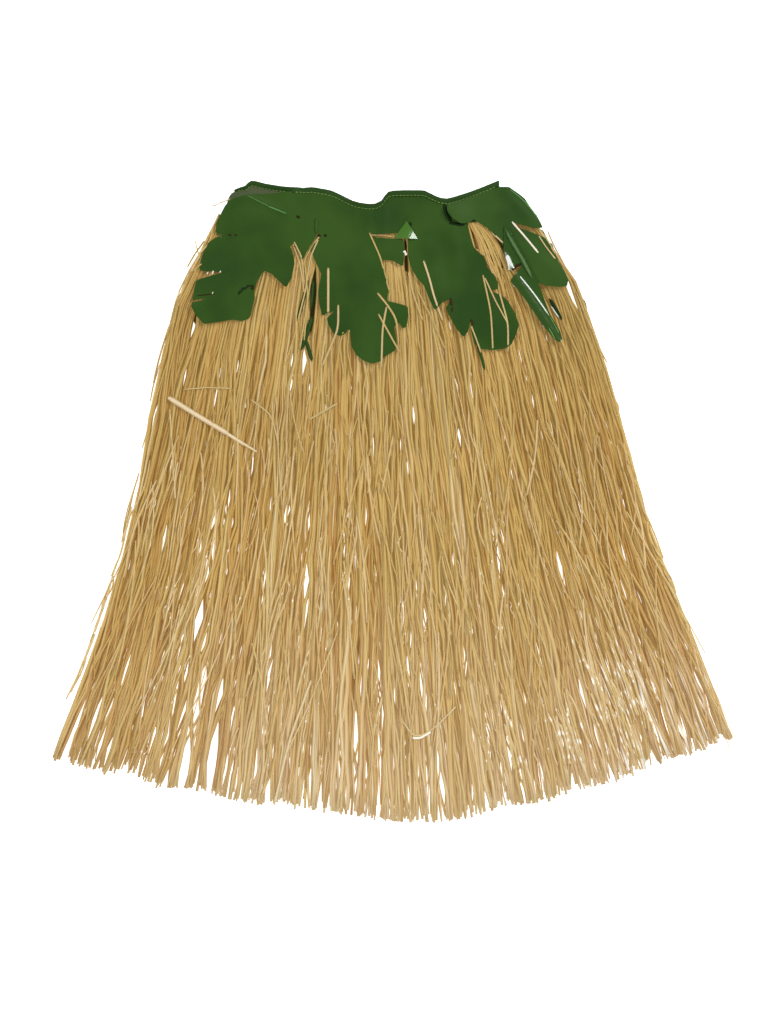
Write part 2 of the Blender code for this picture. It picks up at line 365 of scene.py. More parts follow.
raffia = raffia_finish("raffia", (0.0, (0.42, 0.20, 0.048)), (0.25, (0.55, 0.325, 0.088)),
                       (0.5, (0.60, 0.41, 0.13)), (0.75, (0.64, 0.48, 0.175)), (1.0, (0.76, 0.62, 0.35)))
straw = raffia_finish("straw", (0.0, (0.33, 0.20, 0.05)), (0.5, (0.50, 0.40, 0.14)),
                      (1.0, (0.72, 0.64, 0.36)))
print("made", raffia.name, "and", straw.name)

# %% [markdown]
# The sheet is thin soft plastic, dyed leaf green right through. It shines softly, and it is a little
# uneven from being rolled up, which shows only in its reflections. The cut edge is painted paler than the
# face: a painted glow for the light that comes through it.

# %% Leaf sheet, cut edge, binding and thread finishes
def sheet_finish(name, colour, deeper, roughness, specular=0.35):
    """Soft plastic in two close tones, with a faint grain."""
    made = Finish(name, roughness, specular)
    spot = made.node("ShaderNodeTexCoord", result=3)
    clouds = made.noise(spot, 17.0, 2.0)
    patches = made.step(clouds, 0.35, 0.65)
    grain = made.noise(spot, 900.0, 2.0)
    soft = made.noise(spot, 60.0, 3.0)
    made.output("Base Color", made.blend(patches, colour, deeper))
    made.output("Roughness", roughness - 0.03 + soft * 0.06)
    made.output("Normal", made.bump(grain * 0.15 + soft, 0.08, 0.0008))
    return made.material


leaf_face = sheet_finish("leaf_face", (0.041, 0.099, 0.013), (0.024, 0.067, 0.0095), 0.27)
# Painted glow: the cut edge is paler than the face, for the light that comes through it.
leaf_edge = sheet_finish("leaf_edge", (0.05, 0.13, 0.025), (0.04, 0.11, 0.02), 0.6, 0.1)
inner_face = sheet_finish("inner_face", (0.105, 0.130, 0.058), (0.080, 0.108, 0.042), 0.45, 0.25)
matt_face = sheet_finish("matt_face", (0.041, 0.099, 0.013), (0.026, 0.072, 0.010), 0.55, 0.14)
# Painted shadow: a dark green for strips where raised edges throw shade.
shadow_face = sheet_finish("shadow_face", (0.012, 0.032, 0.008), (0.018, 0.045, 0.009), 0.6, 0.1)
shiny_face = sheet_finish("shiny_face", (0.034, 0.088, 0.013), (0.026, 0.072, 0.010), 0.14, 0.6)
# Painted light: a lighter green for the folded corner, which catches light and lets it through.
lit_corner_face = sheet_finish("lit_corner_face", (0.075, 0.19, 0.025), (0.06, 0.16, 0.02), 0.16, 0.6)
binding_face = sheet_finish("binding_face", (0.024, 0.068, 0.009), (0.019, 0.055, 0.007), 0.6, 0.15)
thread = sheet_finish("thread", (0.24, 0.36, 0.10), (0.16, 0.28, 0.06), 0.6, 0.1)
# Painted highlight: a pale green for the sharp folds.
fold_highlight_face = sheet_finish("fold_highlight_face", (0.13, 0.31, 0.08), (0.09, 0.24, 0.05), 0.4, 0.3)
# Painted highlight: a duller pale green for the rib of the slim leaf.
rib_highlight_face = sheet_finish("rib_highlight_face", (0.10, 0.20, 0.055), (0.07, 0.16, 0.04), 0.5, 0.3)
glint = sheet_finish("glint", (0.95, 0.99, 0.88), (0.85, 0.95, 0.75), 0.3, 0.5)
shade = sheet_finish("shade", (0.026, 0.020, 0.006), (0.05, 0.028, 0.008), 0.8, 0.1)
# Painted shade: a dark brown laid under the dragged tuft.
shadow_straw = sheet_finish("shadow_straw", (0.10, 0.055, 0.014), (0.17, 0.10, 0.028), 0.8, 0.1)
white_floor = Finish("white_floor", 0.9)
white_floor.output("Base Color", (0.92, 0.92, 0.92))
white_floor.output("Emission Color", (1, 1, 1))
white_floor.output("Emission Strength", 0.96)
floor.data.materials.append(white_floor.material)
print("made the sheet's finishes")

# %% [markdown]
# ## Reading the fringe's shape from the frame
#
# Each packed hank is a plain solid. Sliced level by level it gives the room that its strands have: how
# wide the hank is there, and how high it lies. A strand then only needs its share of that width.

# %% Slice a hank
LEVELS = 48


def crossings(node, axis, at):
    """The points where the edges of a node's mesh cross a plane."""
    mesh = frame["nodes"][node].data
    points = np.zeros(len(mesh.vertices) * 3)
    mesh.vertices.foreach_get("co", points)
    points = points.reshape(-1, 3)
    edges = np.zeros(len(mesh.edges) * 2, int)
    mesh.edges.foreach_get("vertices", edges)
    first, second = points[edges.reshape(-1, 2)[:, 0]], points[edges.reshape(-1, 2)[:, 1]]
    length = second[:, axis] - first[:, axis]
    crossed = (np.abs(length) > 1e-9) & ((first[:, axis] - at) * (second[:, axis] - at) <= 0)
    share = (at - first[crossed, axis]) / length[crossed]
    return first[crossed] + (second[crossed] - first[crossed]) * share[:, None]


class Hank:
    """The room that one packed hank leaves its strands."""

    END_ZONE = 45 * MM        # its end is slanted and rounded, so its width is read above this
    SLOPE_LEVELS = 8          # the last slices, which say how it goes on below them

    def __init__(self, node):
        low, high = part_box(node)
        self.node = node
        self.top = high.y - 0.5 * MM
        self.level = np.linspace(self.top, low.y + self.END_ZONE, LEVELS)
        rings = [crossings(node, 1, y) for y in self.level]
        self.left = np.array([r[:, 0].min() for r in rings])
        self.right = np.array([r[:, 0].max() for r in rings])
        self.floor = np.array([r[:, 2].min() for r in rings])
        self.roof = np.array([r[:, 2].max() for r in rings])

    def read(self, values, y):
        """A measure at a height y, carried on in a straight line past the last slice."""
        inside = np.interp(-y, -self.level, values)
        back = -self.SLOPE_LEVELS
        slope = (values[-1] - values[back]) / (self.level[-1] - self.level[back])
        return np.where(y < self.level[-1], values[-1] + (y - self.level[-1]) * slope, inside)

    def across(self, share, y):
        """The place at a share of the hank's width."""
        left, right = self.read(self.left, y), self.read(self.right, y)
        return left + (right - left) * share

    def end(self, share):
        """How far down the hank reaches at a share of its width."""
        low = self.level[-1]
        for _ in range(3):        # the hank slants, so the place is found in a few steps
            ring = crossings(self.node, 0, float(self.across(share, np.array(low))))
            low = ring[:, 1].min() if len(ring) else low
        return low


hanks = {node: Hank(node) for node in FRONT_HANKS + BACK_HANKS}
print("sliced", len(hanks), "hanks")

# %% [markdown]
# ## Making strands
#
# A strand is a dried ribbon, a few millimetres wide, folded a little along its middle. More than a thousand
# are needed, so each has only three sides: two slopes that meet in a ridge, and a flat underside. All the
# strands of a hank are made together as arrays: paths, then corners around the paths, then faces.

# %% Turn paths into ribbons
SIDES = 3
# A ribbon's width at its first and last end, as a share of its own, and how fast it narrows to the last.
BLUNT, POINTED = (0.7, 0.8, 16), (0.1, 0.1, 6)
WIDENING = 6                                        # how fast it widens from the first
UV_WIDE, UV_LONG, UV_APART = 0.003, 0.02, 3.7       # metres of ribbon in a unit, and a step for each


def ribbons(name, paths, widths, thickness, twist, tone, pale, ridge, finish=raffia, slot="raffia",
            tips=BLUNT):
    """One mesh of closed ribbons, with a material and the attributes that colour it.

    paths is strands x stations x 3. widths, thickness, tone and ridge have one value a strand, twist and
    pale have one for each station. ridge moves the fold off the middle, as a share of the width.
    """
    first_tip, last_tip, narrowing = tips
    count, stations = paths.shape[:2]
    along = np.gradient(paths, axis=1)
    along /= np.linalg.norm(along, axis=2, keepdims=True)
    side = np.cross(along, np.array([0, 0, 1.0]))
    side /= np.linalg.norm(side, axis=2, keepdims=True)
    up = np.cross(side, along)
    cos, sin = np.cos(twist)[..., None], np.sin(twist)[..., None]
    side, up = side * cos + up * sin, up * cos - side * sin
    share = np.linspace(0, 1, stations)
    taper = np.minimum(np.minimum(first_tip + share * WIDENING, 1), last_tip + (1 - share) * narrowing)
    half = (widths[:, None] * taper / 2)[..., None]
    rise = (thickness[:, None] * taper)[..., None]
    fold = paths + side * (ridge * widths)[:, None, None] + up * rise
    corners = np.stack([paths + side * half, fold, paths - side * half], axis=2)

    strand, station, corner = np.meshgrid(np.arange(count), np.arange(stations - 1), np.arange(SIDES),
                                          indexing="ij")
    here = (strand * stations + station) * SIDES
    after = (corner + 1) % SIDES
    quads = np.stack([here + corner, here + SIDES + corner, here + SIDES + after, here + after], axis=-1)
    first = np.arange(count)[:, None] * stations * SIDES
    caps = np.concatenate([first + [0, 1, 2], first + (stations - 1) * SIDES + [2, 1, 0]])

    mesh = bpy.data.meshes.new(name)
    mesh.from_pydata(corners.reshape(-1, 3), [], quads.reshape(-1, 4).tolist() + caps.tolist())
    shape = (count, stations, SIDES)
    run = np.cumsum(np.linalg.norm(np.diff(paths, axis=1, prepend=paths[:, :1]), axis=2), axis=1)
    u = np.broadcast_to(np.array([0.0, 0.5, 1.0]), shape) * widths[:, None, None] / UV_WIDE
    u = u + np.arange(count)[:, None, None] * UV_APART
    v = np.broadcast_to((run / UV_LONG)[..., None], shape)
    corner_uv = np.stack([u, v], axis=-1).reshape(-1, 2)
    loop_vertex = np.zeros(len(mesh.loops), int)
    mesh.loops.foreach_get("vertex_index", loop_vertex)
    mesh.uv_layers.new(name="UVMap").data.foreach_set("uv", corner_uv[loop_vertex].ravel())
    for attribute, values in (("tone", tone[:, None, None]), ("pale", pale[..., None])):
        layer = mesh.attributes.new(attribute, "FLOAT", "POINT")
        layer.data.foreach_set("value", np.broadcast_to(values, shape).astype(np.float32).ravel())
    mesh.shade_smooth()
    mesh.materials.append(finish)
    obj = add_object(name, mesh)
    hand_in(obj, slot)
    return obj


print("a ribbon has", SIDES, "sides")

# %% [markdown]
# ## Partings
#
# The floor shows through the fringe in thin slivers, because the strands gather into small bunches. The
# partings that the skirt has are listed, and a crowd of small ones comes from chance with a fixed
# seed. Both layers are pushed aside by the same partings, so that they open right through.

# %% Choose the partings
PARTINGS = [
    # across at its top, down from, down to, lean over its length, half width
    (-201, 186, 209, -5, 2.2), (-211, 239, 252, -2, 1.6), (-213, 267, 308, -8, 2.2),
    (-231, 215, 262, -6, 2.0), (-240, 259, 290, -3, 1.8), (-174, 262, 272, -1, 1.6),
    (-155, 265, 280, -1, 1.8), (-159, 298, 325, 0, 2.6), (-136, 290, 304, 0, 1.6), (-118, 318, 338, 0, 1.8),
    (-100, 320, 339, 0, 1.8), (-99, 227, 243, -1, 1.6), (-113, 223, 234, 0, 1.6), (-172, 334, 352, -3, 2.4),
    (-162, 333, 353, -2, 1.9), (-153, 331, 356, -4, 2.1), (-174, 355, 376, -2, 4.2),
    (-154, 373, 387, -3, 1.9), (-160, 386, 401, -3, 1.8), (-178, 374, 412, -8, 3.6),
    (-194, 404, 426, -5, 2.8), (-186, 388, 420, -6, 3.4), (-184, 414, 448, -5, 4.0),
    (-176, 400, 420, -3, 2.0), (-189, 434, 462, -2, 2.2), (-181, 448, 470, -5, 2.6),
    (-206, 458, 482, -5, 3.4), (-199, 476, 508, -6, 2.2), (-183, 478, 560, -14, 6.0),
    (-194, 540, 625, -18, 5.0), (-168, 498, 538, -3, 3.6), (-172, 532, 600, -3, 4.0),
    (-178, 560, 625, -1, 3.8), (-204, 515, 540, -3, 1.8), (-212, 500, 534, -2, 2.0),
    (-190, 540, 562, -3, 2.2), (-161, 566, 600, -2, 2.2), (-156, 586, 625, -6, 2.8),
    (-132, 560, 600, 1, 1.8), (-121, 596, 650, 0, 3.0), (-281, 404, 452, -10, 1.9),
    (-306, 532, 546, -3, 2.4), (-314, 544, 584, -12, 2.6), (-283, 549, 566, -3, 2.2),
    (-275, 551, 573, -4, 2.2), (-81, 412, 450, -3, 1.9), (-79, 351, 369, -1, 2.0), (-81, 378, 420, -1, 2.0),
    (-107, 354, 364, 0, 2.0), (-95, 175, 194, -2, 2.4), (-82, 168, 204, -5, 3.6), (-76.5, 96, 163, -1, 3.0),
    (-73, 78, 140, -2, 2.4), (-81, 126, 134, -1, 2.0), (-38, 199, 222, 0, 2.2), (-39, 224, 246, 0, 2.0),
    (-60, 240, 256, 0, 1.8), (-61, 257, 276, 0, 1.6), (-40, 320, 350, -1, 2.6), (-43, 352, 386, -2, 2.0),
    (-40, 390, 412, 0, 1.8), (65, 214, 232, 1, 1.9), (70, 240, 266, 2, 2.8), (81, 234, 256, 3, 1.6),
    (102, 264, 276, 1, 1.7), (103, 337, 361, 4, 2.4), (107, 364, 390, 5, 2.2), (121, 377, 404, 5, 2.4),
    (112, 398, 423, 5, 2.2), (132, 409, 425, 2, 1.8), (91, 410, 430, 4, 1.9), (119, 420, 438, 3, 2.0),
    (129, 432, 448, 2, 1.9), (41, 361, 384, 4, 1.9), (13, 420, 445, 2, 1.9), (20, 443, 466, 2, 2.2),
    (182, 584, 630, 6, 2.6), (262, 560, 610, 8, 2.6), (96, 600, 650, 3, 2.2), (30, 610, 650, 1, 2.2),
    (-60, 610, 650, 0, 2.2), (-222, 585, 630, -5, 2.2), (150, 505, 535, 8, 1.8), (196, 470, 500, 9, 1.8),
    (-196, 80, 104, -6, 2.6), (-200, 104, 122, -4, 2.2), (-190, 126, 158, -8, 2.4), (18, 58, 88, 0, 5.0),
    (178, 92, 124, 3, 3.4), (66, 196, 212, 3, 1.8),
]
SMALL_PARTINGS = 90
PARTING_REACH = 8.0           # mm beside a parting that still move aside
PARTING_EASE = 0.2            # share of its length over which it closes above and below its ends

chance = np.random.default_rng(5)
small = []
for _ in range(SMALL_PARTINGS):
    down = chance.uniform(190, 600)
    across = fan_half(down) * np.clip(chance.normal(-0.15, 0.5), -0.95, 0.95)
    size = chance.uniform(16, 36)
    lean = across / LENGTH * size
    small.append((across, down, down + size, lean, chance.uniform(1.2, 2.0)))


def part(paths):
    """Push each strand to the side of a parting that it mostly lies on, most at the parting's middle."""
    down = (WAIST_TOP - paths[..., 1]) / MM
    for across, start, end, lean, half in PARTINGS + small:
        share = (down - start) / (end - start)
        open_share = np.clip((share + PARTING_EASE) / (1 + 2 * PARTING_EASE), 0, 1)
        open_share = np.sin(np.pi * open_share) ** 1.5
        offset = paths[..., 0] / MM - across - lean * share
        side = np.sign((offset * open_share).sum(axis=1, keepdims=True))
        away = side * offset
        push = half * np.exp(-(np.maximum(away, 0) / PARTING_REACH) ** 2) + np.clip(-away, 0, PARTING_REACH)
        paths[..., 0] += side * open_share * push * MM
    return paths


print(len(PARTINGS), "partings by hand and", len(small), "small ones")

# %% [markdown]
# ## The fringe
#
# The strands are sewn close together at the waist and fan out to the hem. None is straight: each one
# wanders a few millimetres, and some cross their neighbours at an angle. Towards the hem they gather into
# bunches, and they are paler there, where the fibre is thin and frayed.

# %% Let strands wander
STATIONS = 25
MIDDLE_STATION, LOWER_STATION = 12, 15
WAVES = ((0.9, 4.5), (2.1, 2.8), (4.3, 1.5), (7.9, 0.75))       # waves along a strand, their size in mm
BUNCH = 16 * MM
GATHER = 0.08                 # share of a bunch by which its strands draw together


def wander(rng, count, along):
    """Sideways drift of each strand, from long bends to small kinks."""
    drift = np.zeros((count, along.shape[1]))
    for waves, size in WAVES:
        phase = rng.uniform(0, 2 * np.pi, count)[:, None]
        drift += rng.normal(0, size, count)[:, None] * np.sin(2 * np.pi * waves * along + phase)
    drift += rng.normal(0, 0.22, drift.shape)
    return drift * MM * smooth_step(along, 0.0, 0.3)


def bunched(x, along):
    """Places across the skirt, drawn together into uneven bunches towards the hem."""
    turn = 2 * np.pi * x / BUNCH + 2.2 * np.sin(x / 0.043) + 1.1 * np.sin(x / 0.019 + 1)
    return x - GATHER * BUNCH * smooth_step(along, 0.3, 1.0) * np.sin(turn)


def bunch_tone(x):
    """Bunches differ a little in colour."""
    return 0.10 * np.sin(x / 0.013) * np.sin(x / 0.041 + 2) + 0.05 * np.sin(x / 0.0061 + 1)


print("bunches are", BUNCH / MM, "mm apart")

# %% [markdown]
# Each hank is grown on its own, from its own seed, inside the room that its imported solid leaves. Most
# strands are flat ribbons a few millimetres wide, and a third are thin threads. A few are broken off short.

# %% Grow the strands of every hank
FRONT_STRANDS, BACK_STRANDS = 82, 56
FRONT_SEED, BACK_SEED = 100, 200
THIN_SHARE, SHORT_SHARE, CROSSING_SHARE = 0.34, 0.1, 0.15
THIN_WIDE = (1.0, 1.9)        # mm, from and to
BROAD_WIDE, BROAD_LIMITS = (2.9, 0.6), (1.9, 4.4)     # mm: the usual width and its spread
LOWEST = 1.2 * MM
LEFT_INSET = 0.10             # share of the first hank that its outer edge draws in towards the hem
SIDE_DARKER = 0.18            # strands near the two sides of the skirt are a darker tone
PALE_FROM, SHEEN_FROM = 330, 410                      # mm down where strands begin to fade, and where their painted sheen begins


def each(values):
    """One value for each strand, as a column beside the stations."""
    return values[:, None]


def strand_paths(rng, node, count, along):
    """Where the strands of one hank run, and which of them are thin."""
    hank = hanks[node]
    outer = node.endswith(("_1", str(len(FRONT_HANKS if "front" in node else BACK_HANKS))))
    share = (np.arange(count) + rng.uniform(-0.4, 1.4, count)) / count
    drift = rng.normal(0, 0.06, count)
    crossing = rng.random(count) < CROSSING_SHARE
    drift[crossing] += rng.normal(0, 0.22, crossing.sum())
    finish_share = share + drift
    if outer:
        share, finish_share = np.clip(share, 0.01, 0.99), np.clip(finish_share, 0.015, 0.985)
    end = np.array([hank.end(s) for s in np.clip(finish_share, 0.02, 0.98)])
    thin = rng.random(count) < THIN_SHARE
    end += (rng.normal(-1.2, 1.6, count) + thin * rng.uniform(0, 9, count)) * MM
    short = rng.random(count) < SHORT_SHARE
    end[short] += rng.uniform(8, 60, short.sum()) * MM
    start = hank.top - rng.uniform(0, 4, count) * MM
    y = each(start) + each(end - start) * along

    x = hank.across(each(share) + each(finish_share - share) * along, y)
    x = bunched(x + wander(rng, count, along), along)
    if outer:
        inset = LEFT_INSET * smooth_step(along, 0.1, 0.5) if node.endswith("_1") else -0.02
        x = np.clip(x, hank.across(inset, y), hank.across(1.02, y))
    level = rng.permutation(np.linspace(0, 1, count))
    room = hank.read(hank.roof, y) - hank.read(hank.floor, y)
    z = hank.read(hank.floor, y) + room * (0.04 + 0.80 * each(level))
    z += 0.4 * MM * np.sin(2 * np.pi * 2 * along + each(rng.uniform(0, 6, count)))
    return part(np.stack([x, y, np.maximum(z, LOWEST)], axis=-1)), thin


def strand_tones(rng, paths, along):
    """The tone of each strand, and how pale it is at each station, with patches of painted sheen at the
    lower right.
    """
    count = len(paths)
    x, down = paths[..., 0], (WAIST_TOP - paths[..., 1]) / MM
    side = (x / (fan_half(down) * MM))[:, MIDDLE_STATION]
    side = np.abs(side) + 0.1 * np.maximum(side, 0)
    tone = rng.normal(0.52, 0.23, count) + bunch_tone(x[:, LOWER_STATION])
    tone = np.clip(tone - SIDE_DARKER * smooth_step(side, 0.35, 0.95), 0, 1)
    pale = 0.40 * smooth_step(down, PALE_FROM, LENGTH) * each(rng.uniform(0.3, 1.2, count))
    pale = pale * (1 - 0.55 * smooth_step(-x, 0.12, 0.26))
    # Painted sheen: at the lower right some strands are made pale in patches along them, up to nearly white.
    satin = smooth_step(x, 0.11, 0.24) * smooth_step(down, SHEEN_FROM, 520)
    satin = satin * each(rng.random(count) < 0.4) * each(rng.uniform(0.2, 0.9, count))
    turns = along * each(rng.uniform(20, 60, count))
    patches = 0.5 + 0.5 * np.sin(turns + each(rng.uniform(0, 6, count)))
    return tone, np.clip(pale + satin * patches, 0, 1)


def grow(node, count, seed):
    """The strands of one hank."""
    rng = np.random.default_rng(seed)
    along = np.linspace(0, 1, STATIONS)[None, :]
    paths, thin = strand_paths(rng, node, count, along)
    narrow, broad = rng.uniform(*THIN_WIDE, count), np.clip(rng.normal(*BROAD_WIDE, count), *BROAD_LIMITS)
    widths = np.where(thin, narrow, broad) * MM
    thickness = widths * rng.uniform(0.16, 0.3, count)
    turned, swing = rng.normal(0, 0.2, count), rng.normal(0, 0.35, count)
    waves = 2 * np.pi * each(rng.uniform(0.6, 2.5, count)) * along
    twist = each(turned) + each(swing) * np.sin(waves + each(rng.uniform(0, 6, count)))
    tone, pale = strand_tones(rng, paths, along)
    obj = ribbons(node.replace("fringe", "raffia"), paths, widths, thickness, twist, tone, pale,
                  rng.uniform(-0.22, 0.22, count))
    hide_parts(node)
    return obj


fringe_front = [grow(node, FRONT_STRANDS, FRONT_SEED + i) for i, node in enumerate(FRONT_HANKS)]
for i, node in enumerate(BACK_HANKS):
    grow(node, BACK_STRANDS, BACK_SEED + i)
print("grew", FRONT_STRANDS * len(FRONT_HANKS) + BACK_STRANDS * len(BACK_HANKS), "strands")

# %% [markdown]
# ## Green sheet
#
# The waistband and the leaves that hang from it are one piece of sheet on the real skirt, so their solids
# are joined here: the tops of the nodes are taken, the hairline between them is welded, and the outline
# is divided into small cells. Then each point is lifted by the folds and curls, and Solidify gives the
# sheet its thickness.

# %% Cut a sheet from the frame
CELL = 3.0 * MM
WELD, SEAM_WELD = 0.02 * MM, 0.45 * MM
SHEET_THICK = 0.35 * MM
SEAM_DOWN = 42.85             # mm from the waist to the hairline between the band and its leaves
CELLS_BELOW, CELLS_ABOVE = 60, 20
SMOOTH_BELOW = math.radians(40)


def cut_sheet(nodes):
    """The top faces of some nodes as one flat mesh, divided into cells and welded at the seam."""
    work = bmesh.new()
    for node in nodes:
        work.from_mesh(frame["nodes"][node].data)
    bmesh.ops.remove_doubles(work, verts=work.verts, dist=WELD)
    work.normal_update()
    hidden = [face for face in work.faces if face.normal.z < 0.5]
    bmesh.ops.delete(work, geom=hidden, context="FACES")
    bmesh.ops.dissolve_limit(work, angle_limit=math.radians(1), verts=work.verts, edges=work.edges)
    points = np.array([v.co for v in work.verts])
    seam = WAIST_TOP - SEAM_DOWN * MM
    across = set(np.arange(points[:, 0].min() + CELL, points[:, 0].max(), CELL))
    across |= {x for x, y, z in points if abs(y - seam) < SEAM_WELD}
    up = [seam + n * CELL for n in range(-CELLS_BELOW, CELLS_ABOVE) if n]
    for axis, normal, places in ((0, (1, 0, 0), sorted(across)), (1, (0, 1, 0), up)):
        for at in places:
            spot = [0, 0, 0]
            spot[axis] = at
            bmesh.ops.bisect_plane(work, geom=work.verts[:] + work.edges[:] + work.faces[:],
                                   plane_co=spot, plane_no=normal, dist=1e-6)
    bmesh.ops.remove_doubles(work, verts=[v for v in work.verts if abs(v.co.y - seam) < SEAM_WELD],
                             dist=SEAM_WELD)
    return work


def finish_sheet(work, name, nodes, face):
    """The mesh as an object with its thickness and finishes."""
    bmesh.ops.triangulate(work, faces=[f for f in work.faces if len(f.verts) > 4])
    mesh = bpy.data.meshes.new(name)
    work.to_mesh(mesh)
    work.free()
    obj = add_object(name, mesh)
    mesh.materials.append(face)
    mesh.materials.append(leaf_edge)
    wall = obj.modifiers.new("thickness", "SOLIDIFY")
    wall.thickness = SHEET_THICK
    wall.offset = -1
    wall.material_offset_rim = 1
    select_only(obj)
    bpy.ops.object.modifier_apply(modifier=wall.name)
    bpy.ops.object.shade_smooth_by_angle(angle=SMOOTH_BELOW)
    hand_in(obj, "leaf_sheet", *nodes)
    return obj


def face_area(work):
    """The area of a mesh in square metres."""
    return sum(face.calc_area() for face in work.faces)


print("cells are", CELL / MM, "mm")

# %% [markdown]
# ### Folds and curls
#
# The sheet was rolled up before it was laid out, so it keeps creases. A crease is a soft ridge from one
# point to another, and a swell lifts a round patch, such as the tip of a leaf. Both are listed for the
# pieces that have them.

# %% Shape the sheet
def ridge_lift(points, start, end, height, width):
    """Height of a ridge that runs between two places, fading out at both ends."""
    a, b = place(*start)[:2], place(*end)[:2]
    length = np.linalg.norm(b - a)
    unit = (b - a) / length
    offset = points[:, :2] - a
    run = offset @ unit / length
    away = offset @ np.array([-unit[1], unit[0]])
    fade = smooth_step(run, -0.08, 0.15) * smooth_step(1 - run, -0.08, 0.15)
    return height * MM * fade * np.maximum(1 - np.abs(away) / (width * MM), 0)


def swell_lift(points, centre, radius, height):
    """Height of a soft round swelling."""
    distance = np.linalg.norm(points[:, :2] - place(*centre)[:2], axis=1)
    return height * MM * np.exp(-(distance / (radius * MM)) ** 2)


def curl_lift(points, line, height, reach):
    """Height of a lip that curls up above a line of places and drops off sharply below it."""
    line = np.array([place(*at)[:2] for at in line])
    x = points[:, 0]
    above = (points[:, 1] - np.interp(x, line[:, 0], line[:, 1])) / (reach * MM)
    ends = smooth_step(x - line[0, 0], 0, 5 * MM) * smooth_step(line[-1, 0] + 4 * MM - x, 0, 5 * MM)
    return height * MM * ends * np.exp(-np.abs(above)) * (above > 0)


def ripple(points, size, phase):
    """A gentle unevenness all over, as soft sheet has."""
    x, y = points[:, 0] / 0.04, points[:, 1] / 0.055
    broad = np.sin(x + phase) * np.cos(y * 1.3 + phase * 2)
    return size * MM * (broad + 0.5 * np.sin(2.3 * x + 1.7 * y + phase))


def shape(work, ridges=(), swells=(), curls=(), ripples=0.6, phase=0.0, lowest=None):
    """Lift the points of a flat sheet by its folds."""
    points = np.array([v.co for v in work.verts])
    lift = ripple(points, ripples, phase) + ripples * MM
    for raise_by, rows in ((ridge_lift, ridges), (swell_lift, swells), (curl_lift, curls)):
        for row in rows:
            lift += raise_by(points, *row)
    height = points[:, 2] + lift
    if lowest is not None:
        height = np.maximum(height, lowest)
    for vert, z in zip(work.verts, height):
        vert.co.z = z


def make_sheet(name, nodes, face, **folds):
    """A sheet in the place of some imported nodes, and its area before it is folded."""
    work = cut_sheet(nodes)
    area = face_area(work)
    shape(work, **folds)
    sheet = finish_sheet(work, name, nodes, face)
    print(name, "is", round(area * 1e4), "square cm, and has", len(sheet.data.polygons), "faces")
    return sheet, area


print("ridges, swells and curls are ready")

# %% [markdown]
# The band and the three leaves that are cut in one with it come first. Their creases run mostly up and
# down, where the sheet was folded, and a small lip stands up near the lower edge of the wide leaf.

# %% Shape the band and its leaves
FRONT_RIDGES = [
    # from (across, down), to (across, down), height, width
    ((-142, 15), (-98, 35), 1.3, 3.2), ((-34, 26), (-32, 60), 0.7, 6), ((-22, 22), (-18, 60), 0.6, 6),
    ((-4, 26), (-6, 56), 0.8, 6), ((62, 40), (70, 95), 0.9, 9), ((96, 100), (104, 160), 1.0, 12),
    ((-30, 70), (-14, 170), 0.9, 14), ((-150, 60), (-175, 130), 0.9, 16), ((40, 60), (50, 120), 0.8, 12),
]
FRONT_SWELLS = [
    # centre (across, down), radius, height
    ((-196, 128), 14, 1.0), ((-16, 184), 14, 1.0), ((118, 166), 16, 1.2), ((-102, 106), 8, 1.2),
    ((-150, 40), 24, 1.6), ((-70, 30), 26, 1.2),
]
FRONT_CURLS = [
    # line of the lip (across, down), height, how far back it reaches
    ([(-154, 118), (-146, 109), (-139, 105.5), (-131, 105)], 1.6, 10),
]

leaves_front, front_area = make_sheet("leaves_front", FRONT_SHEET, leaf_face, ridges=FRONT_RIDGES,
                                      swells=FRONT_SWELLS, curls=FRONT_CURLS, phase=0.4)

# %% [markdown]
# The last leaf of the front lies over the end of the band. Its round lobe at the left curls up high.

# %% Shape the overlapping leaf
OVERLAP_RIDGES = [
    ((114, 9), (149, 48), 1.6, 6), ((88, 34), (140, 30), 0.6, 10), ((132, 60), (172, 98), 1.0, 10),
]
OVERLAP_SWELLS = [((176, 100), 14, 1.2), ((60, 36), 19, 5.4)]
leaf_overlap, overlap_area = make_sheet("leaf_overlap", ["leaf_front_overlap"], matt_face,
                                        ridges=OVERLAP_RIDGES, swells=OVERLAP_SWELLS, phase=1.7)

# %% [markdown]
# The slim leaf hangs at the right. It is folded along its rib: two long ridges run down it, and a short
# one stands up at its edge.

# %% Shape the slim leaf
SLIM_RIDGES = [
    ((116, 46), (152, 112), 1.6, 5), ((121, 90), (172, 166), 1.7, 4), ((111.5, 74), (121, 97), 3.3, 8),
]
leaf_slim, slim_area = make_sheet("leaf_slim", ["leaf_front_slim"], shiny_face,
                                  ridges=SLIM_RIDGES, ripples=0.15)

# %% [markdown]
# The back sheet lies on the floor, so it can only be lifted. Its inner face is the one that shows.

# %% Shape the back sheet
BACK_RIDGES = [
    ((-140, 60), (-160, 140), 0.5, 8), ((0, 60), (10, 170), 0.5, 8), ((90, 60), (120, 130), 0.5, 8),
]
FLOOR_GAP = 0.05 * MM
leaves_back, back_area = make_sheet("leaves_back", BACK_SHEET, inner_face, ridges=BACK_RIDGES,
                                    ripples=0.1, lowest=SHEET_THICK + FLOOR_GAP)

# %% [markdown]
# ## The bound waist
#
# The top of each band is folded over and stitched down. The frame has that strip as a flat solid with
# sharp edges, so a copy of it is merged and its edges are rounded.

# %% Round the bindings
ROUNDING = 0.7 * MM
FATTER = 0.4 * MM             # the tape bulges over the edge of the sheet that it binds


